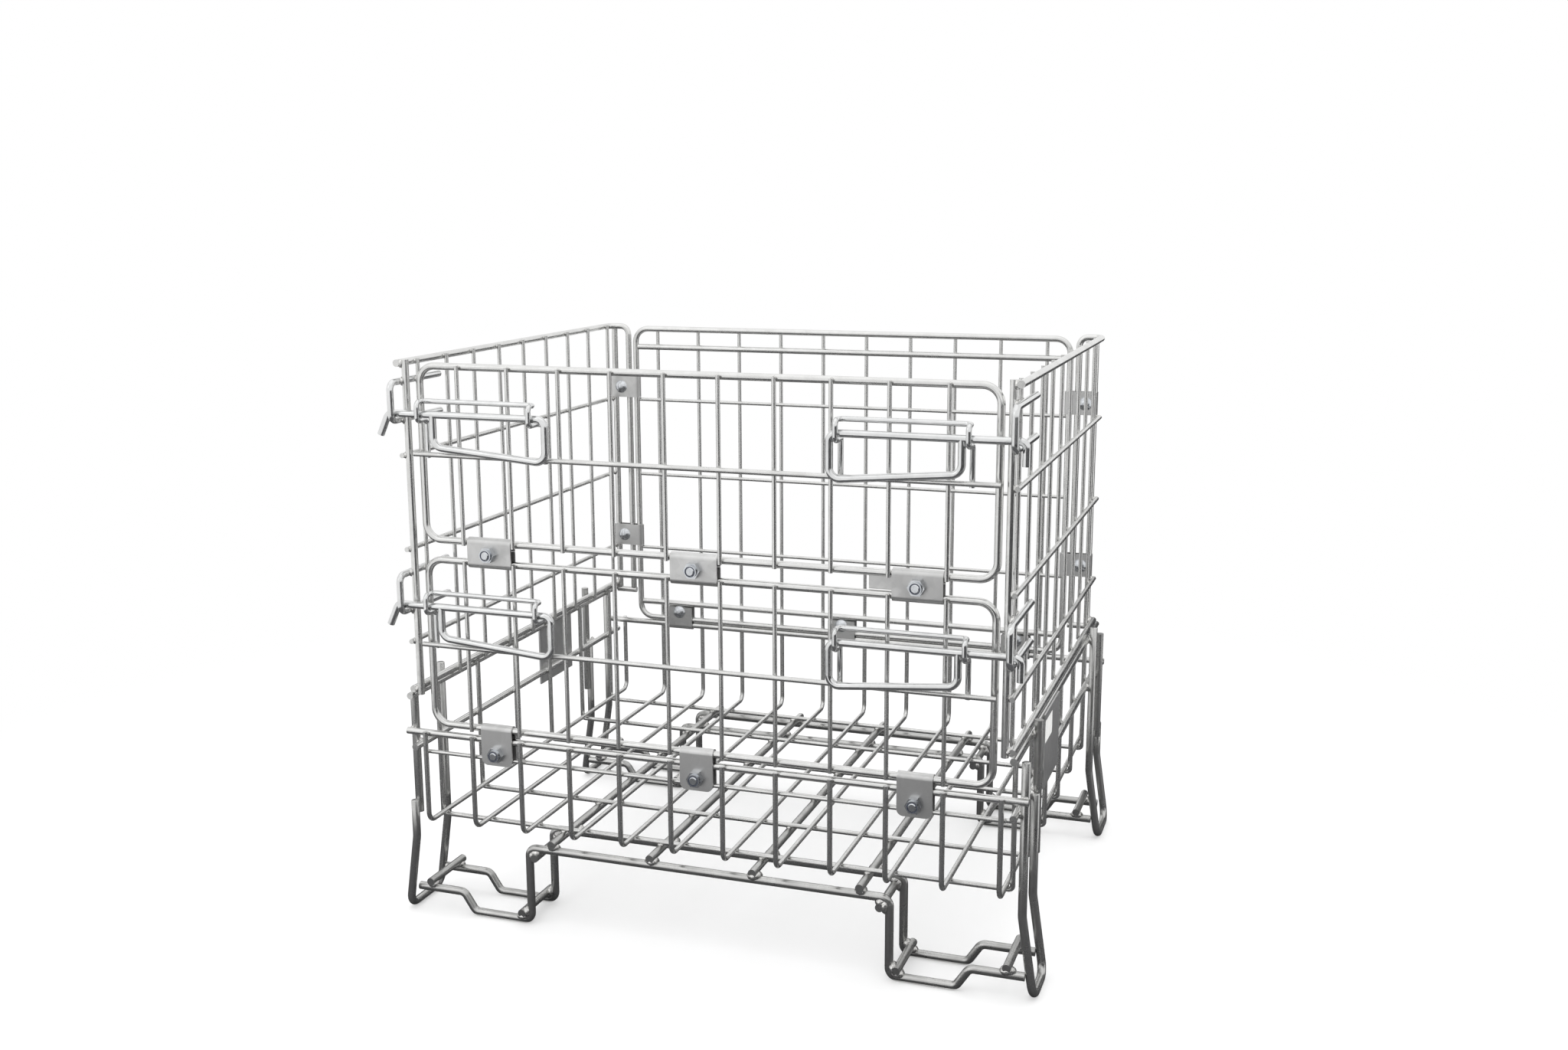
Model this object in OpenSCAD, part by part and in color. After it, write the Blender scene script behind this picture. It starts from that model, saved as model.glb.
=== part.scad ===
// Wire mesh pallet container with a front gate in two halves, all of round rod and wire.
// Sizes are in millimetres. The front faces -Y, +X is to the right and Z = 0 is the floor.

/* [Mesh] */
// Distance between neighbouring floor wires and gate wires
mesh_pitch = 65; // [60:0.5:70]
// Number of front to back floor wires
floor_wire_count = 12; // [10:2:14]
// Distance between the wires that cross the floor
cross_pitch = 100; // [90:1:108]
// Number of wires that cross the floor
cross_wire_count = 6; // [4:2:6]
// Distance between the upright wires of a side panel
side_wire_pitch = 66; // [60:0.5:68]
// Number of upright wires in a side panel
side_wire_count = 9; // [7:2:9]
// Depth between the front skirt and the rear skirt
floor_depth = 588; // [570:1:620]

/* [Heights] */
// Height of the runners' top bars, which the forks go under
runner_height = 100; // [90:1:110]
// Height of the front and rear base rails
base_rail_height = 237.3; // [230:0.1:246]
// Distance of the lower side rails below the base rails
low_side_rail_drop = 17.6; // [14:0.1:30]
// Distance of the upper side rails, which carry the side panels, above the base rails
top_side_rail_rise = 49.8; // [44:0.1:56]
// Distance between the lower gate's bottom bar and the base rail
gate_seat = 14; // [14:0.1:16]
// Height of the lower gate between its bar centres
lower_gate_height = 206.2; // [200:0.1:212]
// Distance between the bars that a link strap holds
link_pitch = 24.5; // [23:0.1:26]
// Height of the upper gate between its bar centres
upper_gate_height = 207.6; // [200:0.1:212]
// Height of the side panels' top rails above the upper gate's top bar
top_rail_rise = 3.2; // [0:0.1:10]

/* [Rod and wire] */
// Diameter of legs, runners and support rods
leg_diameter = 10; // [9:0.5:11]
// Diameter of base rails, panel rails, posts and gate frames
rail_diameter = 8.5; // [8:0.1:9.5]
// Diameter of the floor wires
floor_wire_diameter = 6; // [5:0.1:6.5]
// Diameter of the upright wires of gates and panels
panel_wire_diameter = 5; // [4:0.1:6]
// Diameter of the level wires of gates and side panels
level_wire_diameter = 6; // [5:0.1:6.5]
// Diameter of the latch guides
guide_diameter = 6; // [5:0.1:6.5]
// Diameter of the latch rods
latch_diameter = 8.5; // [8:0.1:9]
// Diameter of the catch rods
catch_diameter = 8; // [7:0.1:9]

/* [Feet] */
// Distance between the two rods of a leg, and between the runners of a pair
leg_spacing = 64; // [58:1:72]
// Width over the feet
foot_width = 800; // [790:1:820]
// Height where the legs start to splay
splay_height = 100; // [90:1:110]
// Top of the leg rod that carries the side rails
tall_leg_height = 305; // [298:1:312]
// Top of the other leg rod
short_leg_height = 280; // [270:1:290]
// Top of the lapped end of a foot loop
lap_top = 147; // [140:1:175]
// Bottom of the post rod that is lapped to it
lap_bottom = 129; // [112:1:134]
// Place of a runner's inner upright from the middle
runner_upright = 228.8; // [220:0.5:236]
// Place where a runner's foot starts to rise
runner_foot_end = 307; // [300:0.5:312]
// Place where a runner's raised end starts
runner_step_start = 322.6; // [318:0.5:330]
// Height of a runner's raised end
runner_step_height = 28.8; // [24:0.2:34]
// Length of the short rods that tie two runners
runner_tie_length = 80; // [76:1:90]
// Places of the support rods from the middle, as multiples of the mesh pitch
support_steps = [1, 3];

/* [Panels] */
// Distance of the side panels' mesh face inside the side rail
panel_inset = 7.05; // [6:0.05:8]
// Gap between a gate's side bar and the front post
gate_side_gap = 5.5; // [4:0.1:8]
// Distance between the two rear posts of a side panel
rear_post_spacing = 22.6; // [20:0.1:28]
// Gap between the back panel and the inner rear post
back_side_gap = 3.4; // [2:0.1:6]
// Distance of the front posts in front of the gate bars
front_post_lead = 7.3; // [6:0.1:9]
// Distance between the back panel's two top bars
back_top_gap = 27; // [22:0.5:32]
// Distance between the back panel's two bottom bars
back_bottom_gap = 24.4; // [22:0.1:30]
// Bend radius of the gate and back frames
frame_bend = 20; // [14:1:26]
// Bend radius of rails and wires
rod_bend = 12; // [10:0.5:16]
// Distance of the side panels' highest level wire below the upper gate's level wire
side_level_drop = 3.3; // [0:0.1:10]

/* [Straps] */
// Thickness of the folded straps
strap_thickness = 2; // [1.5:0.1:2.5]
// Width of the gate hinge straps and back straps
hinge_strap_width = 41; // [36:0.5:48]
// Width of the link straps between the gates
link_strap_width = 57; // [48:0.5:58]
// Height of the corner straps that hold the back panel
corner_strap_height = 31.5; // [26:0.5:38]
// Place of the outer straps from the middle, as a multiple of the mesh pitch
strap_step = 4; // [3:1:4]
// Length of a hinge strap's leaf below the base rail
strap_drop = 30.2; // [28:0.2:36]
// Distance of the hinge bolt below the base rail
hinge_bolt_drop = 15.2; // [14:0.1:17]
// Shank diameter of the bolts
bolt_diameter = 10; // [8:0.5:10]
// Width of the nuts across their flats
nut_flats = 17; // [13:0.5:18]
// Height of the nuts
nut_height = 10; // [8:0.5:12]
// Length of a bolt's end beyond its nut
bolt_end = 1; // [0.5:0.5:4]
// Length of the tab at the side of the right link strap
strap_tab = 28.5; // [10:0.5:40]
// Radial clearance of a bar that turns in a strap's fold
fold_clearance = 0.08; // [0.03:0.01:0.1]

/* [Latches] */
// Height of a latch rod above the gate's bottom bar
latch_rise = 153; // [150:0.5:158]
// Height of a guide bar above the latch rod
guide_rise = 14.8; // [13:0.1:18]
// Length of the bent tip of a latch rod
latch_tip = 26; // [20:0.5:30]
// Place where a latch rod bends down to its tip, from the middle of the container
latch_bend_x = 377.2; // [377:0.1:379]
// Distance that the left latches' tips lean outwards
tip_lean = 12; // [6:0.5:14]
// Place of the left pull loops' inner legs
loop_inner_x = 174; // [172:0.5:178]
// Width of a pull loop
loop_width = 145; // [130:1:145]
// Distance of a pull loop's lower inner corner below the latch rod
loop_drop = 50.4; // [47:0.2:52]
// Height of its lower outer corner above the inner one
loop_slant = 12.4; // [0:0.2:14]
// Distance that the right pull loops sit nearer to the middle
loop_shift = 9.5; // [0:0.5:9.5]
// Place of the left guides' inner hooks
guide_inner_x = 190.5; // [190:0.1:194]
// Width of a guide
guide_width = 144.5; // [142:0.5:145]
// Distance that the right guides sit nearer to the middle
guide_shift = 17; // [9.5:0.5:17]
// Height between a catch's two arms
catch_height = 45; // [42:0.5:50]
// Distance of the right catches' closed ends in front of the gate bars
catch_reach = 38; // [30:0.2:44]
// Distance that the left catches' closed ends stand back from that
catch_recess = 9; // [0:0.2:9]
// Distance that the catches' arms reach behind the gate bars
catch_length = 80; // [60:1:85]

/* [Label plates] */
// Length of a label plate
plate_length = 99; // [90:1:110]
// Height of a label plate
plate_height = 91; // [86:1:96]
// Distance of a label plate from the middle
plate_offset = 45; // [30:1:60]
// Thickness of a label plate
plate_thickness = 2; // [1:0.1:3]

/* [Hidden] */
$fn = 40;
// Gap left between rods that the real object welds together.
weld_gap = 0.1;
// Gap between pieces that move past each other.
slide_gap = 0.3;
// Extra diameter of the ball that joins the two parts of a slanted bend.
seam = 0.04;

leg_radius = leg_diameter / 2;
rail_radius = rail_diameter / 2;
floor_radius = floor_wire_diameter / 2;
wire_radius = panel_wire_diameter / 2;
level_radius = level_wire_diameter / 2;
guide_radius = guide_diameter / 2;
latch_radius = latch_diameter / 2;
catch_radius = catch_diameter / 2;

// Heights of the base, stacked from the runners up.
foot_z = leg_radius;
support_z = runner_height + leg_diameter + weld_gap;
cross_z = support_z + leg_radius + floor_radius + weld_gap;
long_z = cross_z + floor_wire_diameter + weld_gap;
skirt_top_z = base_rail_height + rail_radius - 1;
low_side_rail_height = base_rail_height - low_side_rail_drop;
top_side_rail_height = base_rail_height + top_side_rail_rise;

// Heights of the gates, stacked on the base rail. The panels' heights follow them.
lower_bottom_z = base_rail_height + gate_seat;
lower_top_z = lower_bottom_z + lower_gate_height;
upper_bottom_z = lower_top_z + link_pitch;
upper_top_z = upper_bottom_z + upper_gate_height;
lower_level_z = (lower_bottom_z + lower_top_z) / 2;
upper_level_z = (upper_bottom_z + upper_top_z) / 2 + 0.8;
lower_latch_z = lower_bottom_z + latch_rise;
upper_latch_z = upper_bottom_z + latch_rise;
top_rail_height = upper_top_z + top_rail_rise;
high_side_level_z = upper_level_z - side_level_drop;
low_side_level_z = lower_level_z + 1;

// Widths of the base, from the floor wires out.
floor_half_width = (floor_wire_count - 1) / 2 * mesh_pitch;
cross_turn_x = floor_half_width + floor_wire_diameter + weld_gap + 0.45;
side_rail_x = cross_turn_x + floor_radius + rail_radius + weld_gap;
leg_x = side_rail_x + rail_radius + leg_radius + weld_gap;
foot_x = foot_width / 2 - leg_radius;

// Depths of the base.
skirt_y = floor_depth / 2;
rail_y = skirt_y - floor_radius - rail_radius - weld_gap;
outer_runner_y = rail_y - rail_radius - leg_radius - weld_gap;
inner_runner_y = outer_runner_y - leg_spacing;
side_rail_end = skirt_y + 8;

// A runner's raised end stops at the inner side of the splayed leg.
splay_slope = (foot_x - leg_x) / (splay_height - foot_z);
runner_end_x = leg_x + splay_slope * (splay_height - runner_step_height - leg_radius)
    - leg_radius * norm([1, splay_slope]) - weld_gap;

// The side panels.
panel_face_x = side_rail_x - panel_inset;
post_x = panel_face_x - weld_gap - rail_radius;
upright_x = panel_face_x - weld_gap - wire_radius;
panel_rail_x = panel_face_x + rail_radius;
panel_level_x = panel_face_x + level_radius;
catch_x = panel_face_x + catch_radius;
panel_rail_step = side_rail_x - panel_rail_x;
bottom_rail_z = top_side_rail_height + sqrt(pow(rail_diameter + weld_gap, 2) - pow(panel_rail_step, 2));
panel_foot_z = bottom_rail_z - rail_radius + 0.3;
panel_top_z = top_rail_height + rail_radius;
front_post_y = -rail_y - front_post_lead;
inner_post_x = post_x - rear_post_spacing;
tie_z = bottom_rail_z - rail_diameter;

// The back panel.
back_bottom_z = base_rail_height + rail_diameter + weld_gap;
back_top_z = upper_top_z + 0.2;
back_frame_x = inner_post_x - rail_diameter - back_side_gap;
back_bar_x = back_frame_x - rail_radius - weld_gap;
back_wire_y = rail_y + rail_radius + wire_radius + weld_gap;

// The gates.
gate_frame_x = post_x - rail_diameter - gate_side_gap;
gate_wire_y = -rail_y - rail_radius - wire_radius - weld_gap;
level_wire_y = gate_wire_y - wire_radius - level_radius - weld_gap;

// The latches.
latch_y = level_wire_y - level_radius - latch_radius - slide_gap;
guide_y = gate_wire_y - wire_radius - guide_radius - weld_gap;
guide_front_y = latch_y - latch_radius - guide_radius - slide_gap;
guide_back_y = level_wire_y + level_radius + guide_radius + weld_gap;
catch_front_y = -rail_y - catch_reach;
catch_back_y = -rail_y + catch_length;

// Straps.
fold_radius = rail_radius + fold_clearance;
leaf_y = fold_radius + strap_thickness;
cut = 4 * leaf_y;
strap_x = strap_step * mesh_pitch;
hinge_bolt_z = base_rail_height - hinge_bolt_drop;
skirt_wire_z = hinge_bolt_z - bolt_diameter / 2 - wire_radius - 0.5;
skirt_wire_y = -skirt_y + floor_radius + wire_radius + weld_gap;
back_bar_z = back_bottom_z + back_bottom_gap;
back_bolt_z = (back_bottom_z + back_bar_z) / 2;
back_strap_top = back_bar_z - rail_radius - 0.3;
corner_bolt_x = (inner_post_x + post_x) / 2;
corner_strap_levels = [for (z = [high_side_level_z, low_side_level_z])
    z + wire_radius + 0.95 + corner_strap_height / 2];

// The whole model is moved so that the middle of its outline lies on the Z axis.
front_reach = -catch_front_y + catch_radius;
back_reach = max(side_rail_end, rail_y + leaf_y + nut_height + bolt_end);
shift_y = (front_reach - back_reach) / 2;

zinc = [0.72, 0.74, 0.76];
dark_zinc = [0.6, 0.62, 0.65];
bright_zinc = [0.82, 0.84, 0.86];

function wire_x(i) = (i - (floor_wire_count - 1) / 2) * mesh_pitch;
function cross_y(i) = (i - (cross_wire_count - 1) / 2) * cross_pitch;
function side_wire_y(i) = (i - (side_wire_count - 1) / 2) * side_wire_pitch;
function side_level_z(i) = high_side_level_z + (low_side_level_z - high_side_level_z) * i / 2;
function unit(v) = v / norm(v);
function turn(a, b, c) = acos(max(-1, min(1, unit(b - a) * unit(c - b))));
function radius_at(r, i) = is_list(r) ? r[i] : r;
function trim(p, i, r) =
    i <= 0 || i >= len(p) - 1 ? 0 : radius_at(r, i) * tan(turn(p[i - 1], p[i], p[i + 1]) / 2);

// A straight rod from one point to another.
module rod(a, b, d) {
    v = b - a;
    length = norm(v);
    if (length > 0.02)
        translate(a) rotate([0, acos(v.z / length), atan2(v.y, v.x)]) cylinder(h = length, d = d);
}

// One quarter or less of a ring, which starts at the origin along +Z and turns towards +X.
module bend(angle, d, r) {
    multmatrix([[-1, 0, 0, r], [0, 0, 1, 0], [0, 1, 0, 0], [0, 0, 0, 1]])
        rotate_extrude(angle = angle) translate([r, 0]) circle(d = d);
}

// The rest of a bent rod from segment i on. Local Z runs along the segment, and x is the
// direction of local X, so that each bend can be turned into the plane of its path.
module rod_from(p, d, r, i, x) {
    u = unit(p[i + 1] - p[i]);
    length = norm(p[i + 1] - p[i]) - trim(p, i, r) - trim(p, i + 1, r);
    if (length > 0.02)
        cylinder(h = length, d = d);
    if (i < len(p) - 2) {
        w = unit(p[i + 2] - p[i + 1]);
        n = unit(w - (w * u) * u);
        angle = turn(p[i], p[i + 1], p[i + 2]);
        radius = radius_at(r, i + 1);
        translate([0, 0, length > 0.02 ? length : 0]) rotate([0, 0, atan2(n * cross(u, x), n * x)]) {
            slanted = abs(angle - 90) > 0.001;
            if (slanted)
                sphere(d = d + seam);
            bend(angle, d, radius);
            translate([radius, 0, 0]) rotate([0, angle, 0]) translate([-radius, 0, 0]) {
                if (slanted)
                    sphere(d = d + seam);
                rod_from(p, d, r, i + 1, n * cos(angle) - u * sin(angle));
            }
        }
    }
}

// A rod bent at each inner point of a path, with one radius or a list of them.
module bent_rod(p, d, r) {
    u = unit(p[1] - p[0]);
    tilt = acos(u.z);
    around = atan2(u.y, u.x);
    translate(p[0]) rotate([0, tilt, around])
        rod_from(p, d, r, 0, [cos(tilt) * cos(around), cos(tilt) * sin(around), -sin(tilt)]);
}

// A closed frame of rod in the XZ plane at a given depth.
module frame_loop(x, y, low, high, d, r) {
    bent_rod([[0, y, low], [x, y, low], [x, y, high], [-x, y, high], [-x, y, low], [0, y, low]], d, r);
}

module both_sides() {
    children();
    mirror([1, 0, 0]) children();
}

// A nut with its round collar, along -Y from the given face.
module nut(x, y, z) {
    translate([x, y, z]) rotate([90, 0, 0]) difference() {
        union() {
            cylinder(h = nut_height * 0.7, d = nut_flats / cos(30), $fn = 6);
            cylinder(h = nut_height, d = nut_flats * 0.86);
        }
        translate([0, 0, -1]) cylinder(h = nut_height + 2, d = bolt_diameter + 0.1);
    }
}

// A bolt along Y with a domed head. The head sits on the face at y and points to +Y.
module domed_bolt(x, y, z, length) {
    head = bolt_diameter * 0.95;
    translate([x, y, z]) rotate([-90, 0, 0]) {
        rotate_extrude() intersection() {
            translate([0, -head * 0.55]) circle(r = head * 1.14);
            square([head, head]);
        }
        translate([0, 0, bolt_end - length]) cylinder(h = length + 0.5 - bolt_end, d = bolt_diameter);
        translate([0, 0, -length]) cylinder(h = bolt_end, d1 = bolt_diameter - 2, d2 = bolt_diameter);
    }
}

// The rounded outline that trims a strap's leaves, seen from the front.
module strap_outline(width, low, high, corner) {
    translate([0, cut / 2, 0]) rotate([90, 0, 0]) linear_extrude(cut) {
        translate([-width / 2, low + corner]) square([width, high - low - corner]);
        translate([-width / 2 + corner, low]) square([width - 2 * corner, corner + 1]);
        for (side = [-1, 1])
            translate([side * (width / 2 - corner), low + corner]) circle(r = corner);
    }
}

// A strap folded over a bar at the origin, with both leaves hanging down.
module folded_strap(width, low, corner, bolt_z) {
    difference() {
        intersection() {
            rotate([90, 0, 90]) translate([0, 0, -width / 2]) linear_extrude(width) difference() {
                union() {
                    circle(r = leaf_y);
                    translate([-leaf_y, low]) square([2 * leaf_y, -low]);
                }
                circle(r = fold_radius);
                translate([-fold_radius, low - 1]) square([2 * fold_radius, 1 - low]);
            }
            strap_outline(width, low, leaf_y + 1, corner);
        }
        translate([0, cut / 2, bolt_z]) rotate([90, 0, 0]) cylinder(h = cut, d = bolt_diameter + 0.2);
    }
}

// Base of the container.

module floor_long_wires() {
    color(zinc) for (i = [0 : floor_wire_count - 1])
        bent_rod([[wire_x(i), -skirt_y, skirt_top_z], [wire_x(i), -skirt_y, long_z],
                  [wire_x(i), skirt_y, long_z], [wire_x(i), skirt_y, skirt_top_z]],
                 floor_wire_diameter, rod_bend);
}

module floor_cross_wires() {
    top = panel_foot_z - 0.4;
    color(zinc) for (i = [0 : cross_wire_count - 1])
        bent_rod([[-cross_turn_x, cross_y(i), top], [-cross_turn_x, cross_y(i), cross_z],
                  [cross_turn_x, cross_y(i), cross_z], [cross_turn_x, cross_y(i), top]],
                 floor_wire_diameter, floor_radius + 1.5);
}

module base_rail(side) {
    x = leg_x + leg_radius + 0.5;
    color(zinc) rod([-x, side * rail_y, base_rail_height], [x, side * rail_y, base_rail_height], rail_diameter);
}

module front_base_rail() base_rail(-1);
module rear_base_rail() base_rail(1);

module front_skirt_wire() {
    x = floor_half_width + floor_radius + 1.5;
    color(zinc) rod([-x, skirt_wire_y, skirt_wire_z], [x, skirt_wire_y, skirt_wire_z], panel_wire_diameter);
}

module side_rails() {
    color(zinc) {
        rod([side_rail_x, -side_rail_end, top_side_rail_height],
            [side_rail_x, side_rail_end, top_side_rail_height], rail_diameter);
        rod([side_rail_x, -side_rail_end + 6, low_side_rail_height],
            [side_rail_x, side_rail_end - 6, low_side_rail_height], rail_diameter);
    }
}

module right_side_rails() side_rails();
module left_side_rails() mirror([1, 0, 0]) side_rails();

module support_rods() {
    y = outer_runner_y + leg_radius + 3;
    color(zinc) both_sides() for (k = support_steps)
        rod([k * mesh_pitch, -y, support_z], [k * mesh_pitch, y, support_z], leg_diameter);
}

module runner(y) {
    half = [[runner_upright, y, runner_height], [runner_upright, y, foot_z],
            [runner_foot_end, y, foot_z], [runner_step_start, y, runner_step_height],
            [runner_end_x, y, runner_step_height]];
    mirrored = [for (i = [len(half) - 1 : -1 : 0]) [-half[i].x, half[i].y, half[i].z]];
    color(zinc) bent_rod(concat(mirrored, half), leg_diameter, leg_diameter);
}

module front_outer_runner() runner(-outer_runner_y);
module front_inner_runner() runner(-inner_runner_y);
module rear_outer_runner() runner(outer_runner_y);
module rear_inner_runner() runner(inner_runner_y);

module runner_cross_rods() {
    middle = (outer_runner_y + inner_runner_y) / 2;
    low = middle - runner_tie_length / 2;
    high = middle + runner_tie_length / 2;
    under_z = runner_height - leg_diameter - weld_gap;
    under_x = runner_upright - leg_diameter - weld_gap;
    foot_rod_x = runner_upright + leg_diameter + weld_gap;
    on_foot = foot_z + leg_diameter + weld_gap;
    on_step = runner_step_height + leg_diameter + weld_gap;
    step_x = runner_end_x - leg_diameter - 9.5;
    color(zinc) both_sides() for (side = [-1, 1]) {
        rod([under_x, side * low, under_z], [under_x, side * high, under_z], leg_diameter);
        rod([foot_rod_x, side * low, on_foot], [foot_rod_x, side * high, on_foot], leg_diameter);
        rod([step_x, side * low, on_step], [step_x, side * high, on_step], leg_diameter);
    }
}

// A foot loop at the right, with its tall arm at one depth and its short arm at another.
module foot_loop(tall_y, tall_top, lap_y, top) {
    splay = 40;
    turn_radius = abs(tall_y - lap_y) / 2 - 0.05;
    color(zinc) bent_rod([[leg_x, tall_y, tall_top], [leg_x, tall_y, splay_height], [foot_x, tall_y, foot_z],
                          [foot_x, lap_y, foot_z], [leg_x, lap_y, splay_height], [leg_x, lap_y, top]],
                         leg_diameter, [0, splay, turn_radius, turn_radius, splay, 0]);
}

// Two hands of leg: one is lapped on the outer rod, the other on the inner rod.
module outer_lapped_leg() foot_loop(-inner_runner_y, tall_leg_height, -outer_runner_y - leg_diameter - weld_gap, lap_top);
module inner_lapped_leg() foot_loop(-outer_runner_y, short_leg_height, -inner_runner_y, lap_top + 18);

module outer_lapped_post()
    rod([leg_x, -outer_runner_y, lap_bottom], [leg_x, -outer_runner_y, short_leg_height], leg_diameter);

module inner_lapped_post() {
    y = -inner_runner_y + leg_diameter + weld_gap;
    rod([leg_x, y, lap_bottom + 18], [leg_x, y, tall_leg_height], leg_diameter);
}

module front_left_leg() mirror([1, 0, 0]) outer_lapped_leg();
module front_right_leg() inner_lapped_leg();
module rear_left_leg() rotate([0, 0, 180]) inner_lapped_leg();
module rear_right_leg() rotate([0, 0, 180]) mirror([1, 0, 0]) outer_lapped_leg();

module leg_posts() {
    color(zinc) for (angle = [0, 180]) rotate([0, 0, angle]) {
        mirror([1, 0, 0]) outer_lapped_post();
        inner_lapped_post();
    }
}

module label_plate() {
    x = side_rail_x + rail_radius + weld_gap;
    z = top_side_rail_height + rail_radius - plate_height;
    color(bright_zinc) translate([x, -plate_offset - plate_length, z])
        cube([plate_thickness, plate_length, plate_height]);
}

module right_label_plate() label_plate();
module left_label_plate() rotate([0, 0, 180]) label_plate();

// Side panels, made at the right and mirrored to the left.

module top_rail() {
    color(zinc) bent_rod([[panel_rail_x, front_post_y - 6, top_rail_height], [panel_rail_x, rail_y, top_rail_height],
                          [inner_post_x, rail_y, top_rail_height],
                          [inner_post_x, rail_y, tie_z + rail_radius + weld_gap]],
                         rail_diameter, [0, rod_bend, rod_bend, 0]);
}

module panel_posts() {
    color(zinc) {
        rod([post_x, front_post_y, panel_foot_z - 2.5], [post_x, front_post_y, panel_top_z], rail_diameter);
        rod([post_x, rail_y, tie_z + rail_radius + weld_gap],
            [post_x, rail_y, top_rail_height - rail_radius - weld_gap], rail_diameter);
        rod([inner_post_x - rail_radius, rail_y, tie_z], [post_x + rail_radius, rail_y, tie_z], rail_diameter);
    }
}

module panel_bottom_rail()
    color(zinc) rod([panel_rail_x, front_post_y - 4, bottom_rail_z],
                    [panel_rail_x, rail_y + rail_radius, bottom_rail_z], rail_diameter);

module upright_wires() {
    color(zinc) for (i = [0 : side_wire_count - 1])
        rod([upright_x, side_wire_y(i), panel_foot_z], [upright_x, side_wire_y(i), panel_top_z - 1.5],
            panel_wire_diameter);
}

module panel_level_wires() {
    color(zinc) for (i = [0 : 2])
        rod([panel_level_x, front_post_y - 5, side_level_z(i)], [panel_level_x, rail_y + 5, side_level_z(i)],
            level_wire_diameter);
}

// A catch is one rod bent to a long staple. The latch rod lies on its lower arm.
module catch_staple(latch_z, front_y) {
    low = latch_z - latch_radius - slide_gap - catch_radius;
    color(dark_zinc) bent_rod([[catch_x, catch_back_y, low], [catch_x, front_y, low],
                               [catch_x, front_y, low + catch_height],
                               [catch_x, catch_back_y, low + catch_height]], catch_diameter, catch_diameter + 1);
}

module right_top_rail() top_rail();
module right_posts() panel_posts();
module right_bottom_rail() panel_bottom_rail();
module right_upright_wires() upright_wires();
module right_level_wires() panel_level_wires();
module right_upper_catch() catch_staple(upper_latch_z, catch_front_y);
module right_lower_catch() catch_staple(lower_latch_z, catch_front_y);
module left_top_rail() mirror([1, 0, 0]) top_rail();
module left_posts() mirror([1, 0, 0]) panel_posts();
module left_bottom_rail() mirror([1, 0, 0]) panel_bottom_rail();
module left_upright_wires() mirror([1, 0, 0]) upright_wires();
module left_level_wires() mirror([1, 0, 0]) panel_level_wires();
module left_upper_catch() mirror([1, 0, 0]) catch_staple(upper_latch_z, catch_front_y + catch_recess);
module left_lower_catch() mirror([1, 0, 0]) catch_staple(lower_latch_z, catch_front_y + catch_recess);

// Back panel.

module back_frame()
    color(zinc) frame_loop(back_frame_x, rail_y, back_bottom_z, back_top_z, rail_diameter, frame_bend);

module back_bars() {
    color(zinc) for (z = [back_bar_z, back_top_z - back_top_gap])
        rod([-back_bar_x, rail_y, z], [back_bar_x, rail_y, z], rail_diameter);
}

module back_upright_wires() {
    color(zinc) for (i = [1 : floor_wire_count - 2])
        rod([wire_x(i), back_wire_y, back_bottom_z - rail_radius + 1], [wire_x(i), back_wire_y, back_top_z],
            panel_wire_diameter);
}

module back_level_wires() {
    y = rail_y + rail_radius - wire_radius;
    color(zinc) for (i = [0 : 2])
        rod([-back_bar_x, y, side_level_z(i)], [back_bar_x, y, side_level_z(i)], panel_wire_diameter);
}

module back_hinge_straps() {
    color(bright_zinc) for (x = [-strap_x, 0, strap_x])
        translate([x, rail_y, base_rail_height]) rotate([180, 0, 0])
            folded_strap(hinge_strap_width, base_rail_height - back_strap_top, 2, base_rail_height - back_bolt_z);
}

module back_strap_bolts() {
    color(dark_zinc) for (x = [-strap_x, 0, strap_x]) {
        mirror([0, 1, 0]) domed_bolt(x, -rail_y + leaf_y, back_bolt_z, 2 * leaf_y + nut_height + bolt_end);
        mirror([0, 1, 0]) nut(x, -rail_y - leaf_y, back_bolt_z);
    }
}

// A corner strap wraps the back frame's side bar, and its leaves run out past the posts.
module corner_strap(z) {
    length = post_x + rail_radius - back_frame_x;
    color(bright_zinc) difference() {
        translate([back_frame_x, rail_y, z - corner_strap_height / 2]) linear_extrude(corner_strap_height)
            difference() {
                union() {
                    circle(r = leaf_y);
                    translate([0, -leaf_y]) square([length, 2 * leaf_y]);
                }
                circle(r = fold_radius);
                translate([0, -fold_radius]) square([length + 1, 2 * fold_radius]);
            }
        translate([corner_bolt_x, rail_y + cut / 2, z]) rotate([90, 0, 0]) cylinder(h = cut, d = bolt_diameter + 0.2);
    }
}

module corner_straps() both_sides() for (z = corner_strap_levels) corner_strap(z);

module corner_strap_bolts() {
    color(dark_zinc) both_sides() for (z = corner_strap_levels) {
        mirror([0, 1, 0]) domed_bolt(corner_bolt_x, -rail_y + leaf_y, z, 2 * leaf_y + nut_height + bolt_end);
        mirror([0, 1, 0]) nut(corner_bolt_x, -rail_y - leaf_y, z);
    }
}

// Gate hinges. The bar of the lower gate turns in the folds of these straps.

module bottom_straps() {
    drop = gate_seat + strap_drop;
    color(bright_zinc) for (x = [-strap_x, 0, strap_x])
        translate([x, -rail_y, lower_bottom_z])
            folded_strap(hinge_strap_width, -drop, 8, -gate_seat - hinge_bolt_drop);
}

module bottom_strap_bolts() {
    color(dark_zinc) for (x = [-strap_x, 0, strap_x]) {
        domed_bolt(x, -rail_y + leaf_y, hinge_bolt_z, 2 * leaf_y + nut_height + bolt_end);
        nut(x, -rail_y - leaf_y, hinge_bolt_z);
    }
}

// The gates.

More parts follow.
